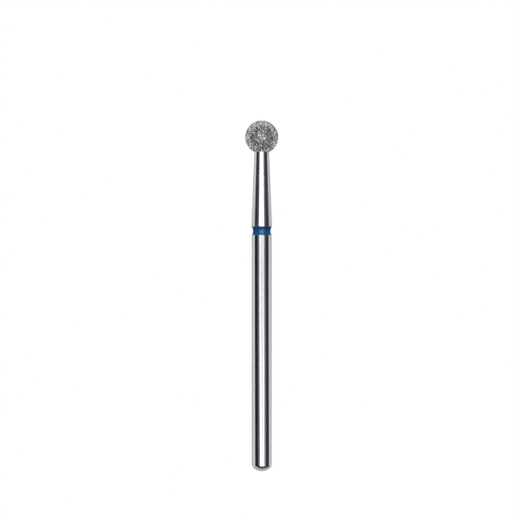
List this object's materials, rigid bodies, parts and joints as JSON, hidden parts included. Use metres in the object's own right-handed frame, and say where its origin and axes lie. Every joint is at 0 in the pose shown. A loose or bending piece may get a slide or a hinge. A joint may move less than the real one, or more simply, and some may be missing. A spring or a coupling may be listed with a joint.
{
  "type": "diamond ball bur",
  "caption": "Straight rotary grinding bur with a round grit-coated head on a tapered neck, a hollow colour ring and a plain cylindrical shank with a domed end.",
  "frame": {"origin": "lowest point of the shank's rounded end, on the axis", "axes": "+Z along the axis from the shank's rounded end to the ball"},
  "size_m": [0.004, 0.004, 0.0414],
  "materials": {
    "blank_steel": "stainless steel, ground and polished, with fine turning marks round the neck",
    "diamond_grit": "diamond grit bonded in plated nickel, rough and grey",
    "ring_lacquer": "blue lacquer, glossy"
  },
  "bodies": {
    "root": {"steel_blank": "blank_steel", "diamond_coat": "diamond_grit", "colour_ring": "ring_lacquer"}
  },
  "joints": []
}
